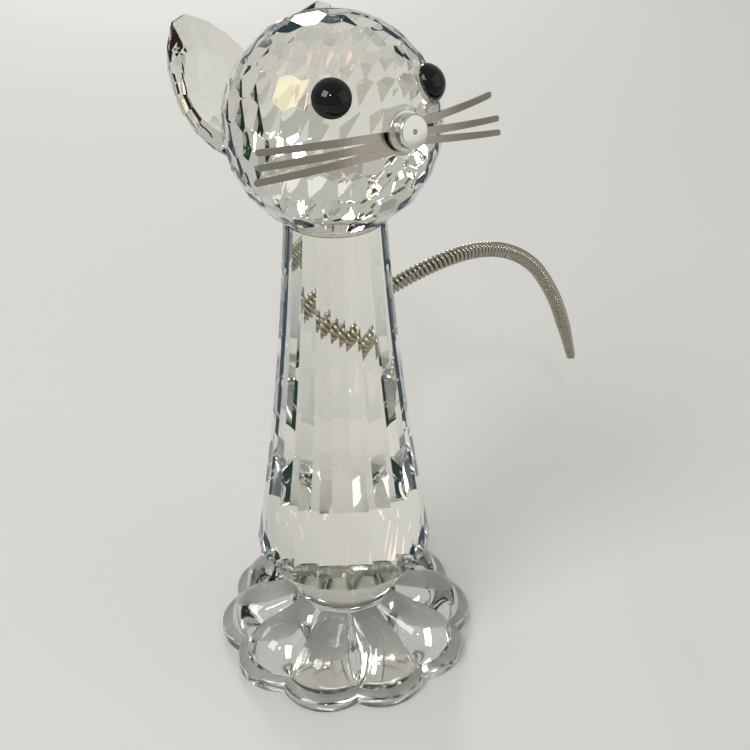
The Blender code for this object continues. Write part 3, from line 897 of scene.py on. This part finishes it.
class FIGURINE_OT_glue(bpy.types.Operator):
    """Clear adhesive films between the stones"""

    bl_idname = "figurine.glue"
    bl_label = "Adhesive"

    # Each film is a little smaller than the flats that it joins.
    neck_inset = 0.05 * MM
    neck_hollow = 0.90  # the share of its radius where the neck's film starts to rise along the ball
    neck_steps = 8
    waist_inset = 0.35 * MM
    eye_share = 0.85
    ears_radius = 2.4 * MM
    ears_rise = 0.6 * MM

    def disc(self, name, place, radius):
        """A film a little thicker than its gap, so that no air is left against either face."""
        film = GLUE_GAP + 2 * GLUE_SOAK
        profile = [(0.0, film), (radius, film), (radius, 0.0), (0.0, 0.0)]
        bm = turned_mesh(profile, ROUND_STEPS // 2)
        piece = finish_mesh(bm, name, clear_glue(), crease=math.radians(50.0))
        piece.matrix_world = place @ raised(-GLUE_SOAK)
        dress(piece, STILL_BODY)

    def neck(self, scene):
        """The film between the ball and the top of the body fills the hollow round the ball's flat."""
        head = scene.cat_head
        middle = head_matrix(scene).to_translation().z
        outer = scene.cat_body.top_radius * math.cos(math.pi / scene.cat_body.facets) - self.neck_inset
        reach = head.radius - GLUE_SOAK
        bottom = body_top(scene) - GLUE_SOAK
        rise = [(0.0, middle - head.neck_flat + GLUE_SOAK)]
        for step in range(self.neck_steps + 1):
            radius = outer * (self.neck_hollow + (1.0 - self.neck_hollow) * step / self.neck_steps)
            rise.append((radius, middle - math.sqrt(reach**2 - radius**2)))
        bm = turned_mesh(rise + [(outer, bottom), (0.0, bottom)], ROUND_STEPS)
        piece = finish_mesh(bm, "glue_neck", clear_glue(), crease=math.radians(30.0))
        dress(piece, STILL_BODY)

    def execute(self, context):
        scene = context.scene
        head = head_matrix(scene)
        self.neck(scene)
        self.disc("glue_waist", raised(scene.cat_foot.height), scene.cat_foot.seat - self.waist_inset)
        eye_radius = scene.cat_eyes.radius * self.eye_share
        for side, label in SIDES:
            place = head @ eye_frame(scene, side) @ raised(scene.cat_head.eye_seat)
            self.disc(f"glue_eye_{label}", place, eye_radius)
        ears = Matrix.Translation((0.0, self.ears_rise, scene.cat_head.ear_seat))
        self.disc("glue_ears", head @ ear_frame(scene) @ ears, self.ears_radius)
        return {"FINISHED"}


# ---- tail

def catmull_rom(points, share):
    """The point this share of the way along a smooth curve through the points."""
    spans = len(points) - 1
    position = min(share * spans, spans - 1e-9)
    index = int(position)
    local = position - index
    before = points[index - 1] if index else points[0] * 2 - points[1]
    start = points[index]
    end = points[index + 1]
    after = points[index + 2] if index + 2 < len(points) else points[-1] * 2 - points[-2]
    return 0.5 * (
        start * 2
        + (end - before) * local
        + (before * 2 - start * 5 + end * 4 - after) * local**2
        + (start * 3 - before - end * 3 + after) * local**3
    )


def tail_line(scene):
    """The middle line as many close points, with the distance along it to each, from the body out."""
    foot = TAIL_ROUTE_MM[0]
    shift = Vector((0.0, body_radius(scene, foot[2] * MM) - foot[1] * MM, 0.0))
    controls = [Vector(point) * MM + shift for point in TAIL_ROUTE_MM]
    points = [catmull_rom(controls, index / TAIL_SAMPLES) for index in range(TAIL_SAMPLES + 1)]
    points.insert(0, points[0] + (points[0] - points[1]).normalized() * scene.cat_tail.socket)
    lengths = [0.0]
    for start, end in zip(points, points[1:]):
        lengths.append(lengths[-1] + (end - start).length)
    return points, lengths


def point_along(points, lengths, distance):
    for index in range(1, len(lengths)):
        if lengths[index] >= distance or index == len(lengths) - 1:
            share = (distance - lengths[index - 1]) / (lengths[index] - lengths[index - 1])
            return points[index - 1].lerp(points[index], share)
    return points[-1]


class FIGURINE_OT_tail(bpy.types.Operator):
    """Close-wound wire coil, tapering to a closed tip, in pieces that each run across one hinge"""

    bl_idname = "figurine.tail"
    bl_label = "Tail"

    per_turn = 14
    look_along = 0.2 * MM  # how far to each side the line's direction is measured
    least_radius = 0.02 * MM
    bend_share = 0.8  # the share of the first free length, outside the glass, that takes the first bend
    overlap_steps = 1.5  # winding steps that each piece runs on into the next, so that no gap shows
    wear = 0.35 * MM

    def coil_radius(self, tail, share):
        if share <= tail.taper_start:
            return tail.radius
        beyond = (share - tail.taper_start) / (1.0 - tail.taper_start)
        return tail.radius + (tail.tip_radius - tail.radius) * beyond

    def coil(self, name, spots, metal):
        """A round wire through the spots, as a mesh."""
        curve = bpy.data.curves.new(name, "CURVE")
        curve.dimensions = "3D"
        curve.bevel_depth = bpy.context.scene.cat_tail.wire / 2
        curve.bevel_resolution = 2
        curve.use_fill_caps = True
        spline = curve.splines.new("POLY")
        spline.points.add(len(spots) - 1)
        for control, spot in zip(spline.points, spots):
            control.co = (*spot, 1.0)
        spline.use_smooth = True
        wire = finish_object(curve, f"{name}_wire", metal)
        graph = bpy.context.evaluated_depsgraph_get()
        mesh = bpy.data.meshes.new_from_object(wire.evaluated_get(graph))
        bpy.data.objects.remove(wire, do_unlink=True)
        return placed(mesh, name)

    def winding(self, tail, points, lengths):
        """The wire's middle line as (distance along the tail, spot) pairs, from the socket to the tip."""
        total = lengths[-1]
        count = int((total - tail.wire) / tail.pitch * self.per_turn)
        # A frame is carried along the line without twist, and the wire winds round it.
        side = Vector((0.0, 0.0, 1.0))
        wound = []
        for index in range(count + 1):
            distance = tail.wire / 2 + (total - tail.wire) * index / count
            middle = point_along(points, lengths, distance)
            ahead = point_along(points, lengths, min(distance + self.look_along, total))
            behind = point_along(points, lengths, max(distance - self.look_along, 0.0))
            along = (ahead - behind).normalized()
            side = (side - along * side.dot(along)).normalized()
            across = along.cross(side)
            angle = math.tau * index / self.per_turn
            radius = self.coil_radius(tail, distance / total) - tail.wire / 2
            left = total - distance
            if left < tail.tip_radius:
                radius *= math.sqrt(max(left / tail.tip_radius, 0.0))
            radius = max(radius, self.least_radius)
            spot = middle + (side * math.cos(angle) + across * math.sin(angle)) * radius
            wound.append((distance, spot))
        return wound

    def execute(self, context):
        scene = context.scene
        tail = scene.cat_tail
        points, lengths = tail_line(scene)
        total = lengths[-1]
        free = (total - tail.socket) / (tail.pieces - 1 + tail.root_share)
        root_end = tail.socket + free * tail.root_share
        breaks = [0.0] + [root_end + free * index for index in range(tail.pieces)]
        winding = self.winding(tail, points, lengths)
        metal = plated_metal("spring wire", "A39E91", 0.16, self.wear)
        nodes = ["tail_root"] + [f"tail_length_{i}" for i in range(1, tail.pieces - 1)] + ["tail_tip"]
        overlap = self.overlap_steps * tail.pitch / self.per_turn
        # Each piece runs from the middle of one length to the middle of the next, across the hinge.
        middles = [(start + end) / 2 for start, end in zip(breaks, breaks[1:])]
        for index in range(tail.pieces - 1):
            first = index == 0
            last = index == tail.pieces - 2
            start = -tail.wire if first else middles[index]
            end = total + tail.wire if last else middles[index + 1] + overlap
            spots = [spot for along, spot in winding if start <= along <= end]
            piece = self.coil(f"coil_{index}", spots, metal)
            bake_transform(piece)
            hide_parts(*(nodes[index:] if last else nodes[index : index + 1]))
        return {"FINISHED"}


# ---- studio

class FIGURINE_OT_studio(bpy.types.Operator):
    """Pale floor, soft lights and the camera"""

    bl_idname = "figurine.studio"
    bl_label = "Studio"

    camera_at = Vector((-52.73, -82.46, 96.24)) * MM
    camera_forward = Vector((0.48233, 0.69490, -0.53337))
    camera_up = Vector((0.31090, 0.43344, 0.84585))
    camera_lens = 53.3
    sensor_width = 36.0
    nearest = 5 * MM
    floor_reach = 1.5
    floor_gap = 0.06 * MM
    # Each light has a name, a place and a size in metres and a power in watts, and is turned to the aim.
    aim = (0.0, 0.0, 0.035)
    lights = (
        ("key_light", (-0.34, -0.06, 0.40), (0.24, 0.24), 1.3),
        ("fill_light", (0.35, -0.40, 0.25), (0.50, 0.50), 0.4),
        ("rim_light", (0.20, 0.45, 0.25), (0.07, 0.16), 0.8),
        ("sparkle_light", (-0.25, -0.30, 0.42), (0.04, 0.04), 0.35),
    )
    air_tone = "CAC9C5"
    air_strength = 0.85

    def light(self, name, place, size, power):
        data = bpy.data.lights.new(name, "AREA")
        data.shape = "RECTANGLE"
        data.size, data.size_y = size
        data.energy = power
        lamp = placed(data, name)
        lamp.location = place
        lamp.rotation_euler = (Vector(place) - Vector(self.aim)).to_track_quat("Z", "Y").to_euler()

    def execute(self, context):
        scene = context.scene
        bm = bmesh.new()
        bmesh.ops.create_grid(bm, x_segments=1, y_segments=1, size=self.floor_reach)
        floor = finish_mesh(bm, "studio_floor", studio_paper())
        floor.location.z = -self.floor_gap
        for name, place, size, power in self.lights:
            self.light(name, place, size, power)
        world = bpy.data.worlds.new("studio air")
        world.use_nodes = True
        background = world.node_tree.nodes["Background"]
        background.inputs["Color"].default_value = linear(self.air_tone)
        background.inputs["Strength"].default_value = self.air_strength
        scene.world = world
        data = bpy.data.cameras.new("camera")
        data.lens = self.camera_lens
        data.sensor_width = self.sensor_width
        data.clip_start = self.nearest
        camera = placed(data, "camera")
        right = self.camera_forward.cross(self.camera_up).normalized()
        up = right.cross(self.camera_forward).normalized()
        turn = Matrix((right, up, -self.camera_forward.normalized())).transposed().to_4x4()
        camera.matrix_world = Matrix.Translation(self.camera_at) @ turn
        scene.camera = camera
        scene.view_settings.view_transform = "Standard"
        return {"FINISHED"}


OPERATORS = (
    FIGURINE_OT_foot,
    FIGURINE_OT_body,
    FIGURINE_OT_head,
    FIGURINE_OT_ears,
    FIGURINE_OT_eyes,
    FIGURINE_OT_nose,
    FIGURINE_OT_whiskers,
    FIGURINE_OT_glue,
    FIGURINE_OT_tail,
    FIGURINE_OT_studio,
)


class FIGURINE_PT_panel(bpy.types.Panel):
    """Sizes and steps of the figurine"""

    bl_label = "Crystal cat"
    bl_idname = "FIGURINE_PT_panel"
    bl_space_type = "VIEW_3D"
    bl_region_type = "UI"
    bl_category = "Figurine"

    def draw(self, context):
        for operator in OPERATORS:
            self.layout.operator(operator.bl_idname)
        for key, kind in SETTINGS.items():
            box = self.layout.box()
            box.label(text=kind.__name__.replace("Settings", ""))
            for name in kind.__annotations__:
                box.prop(getattr(context.scene, key), name)


def register():
    for kind in (*SETTINGS.values(), *OPERATORS, FIGURINE_PT_panel):
        bpy.utils.register_class(kind)
    for key, kind in SETTINGS.items():
        setattr(bpy.types.Scene, key, PointerProperty(type=kind))


def unregister():
    for key in SETTINGS:
        delattr(bpy.types.Scene, key)
    for kind in reversed((*SETTINGS.values(), *OPERATORS, FIGURINE_PT_panel)):
        bpy.utils.unregister_class(kind)


def main():
    register()
    for step in ("foot", "body", "head", "ears", "eyes", "nose", "whiskers", "glue", "tail", "studio"):
        getattr(bpy.ops.figurine, step)()


if __name__ == "__main__":
    main()
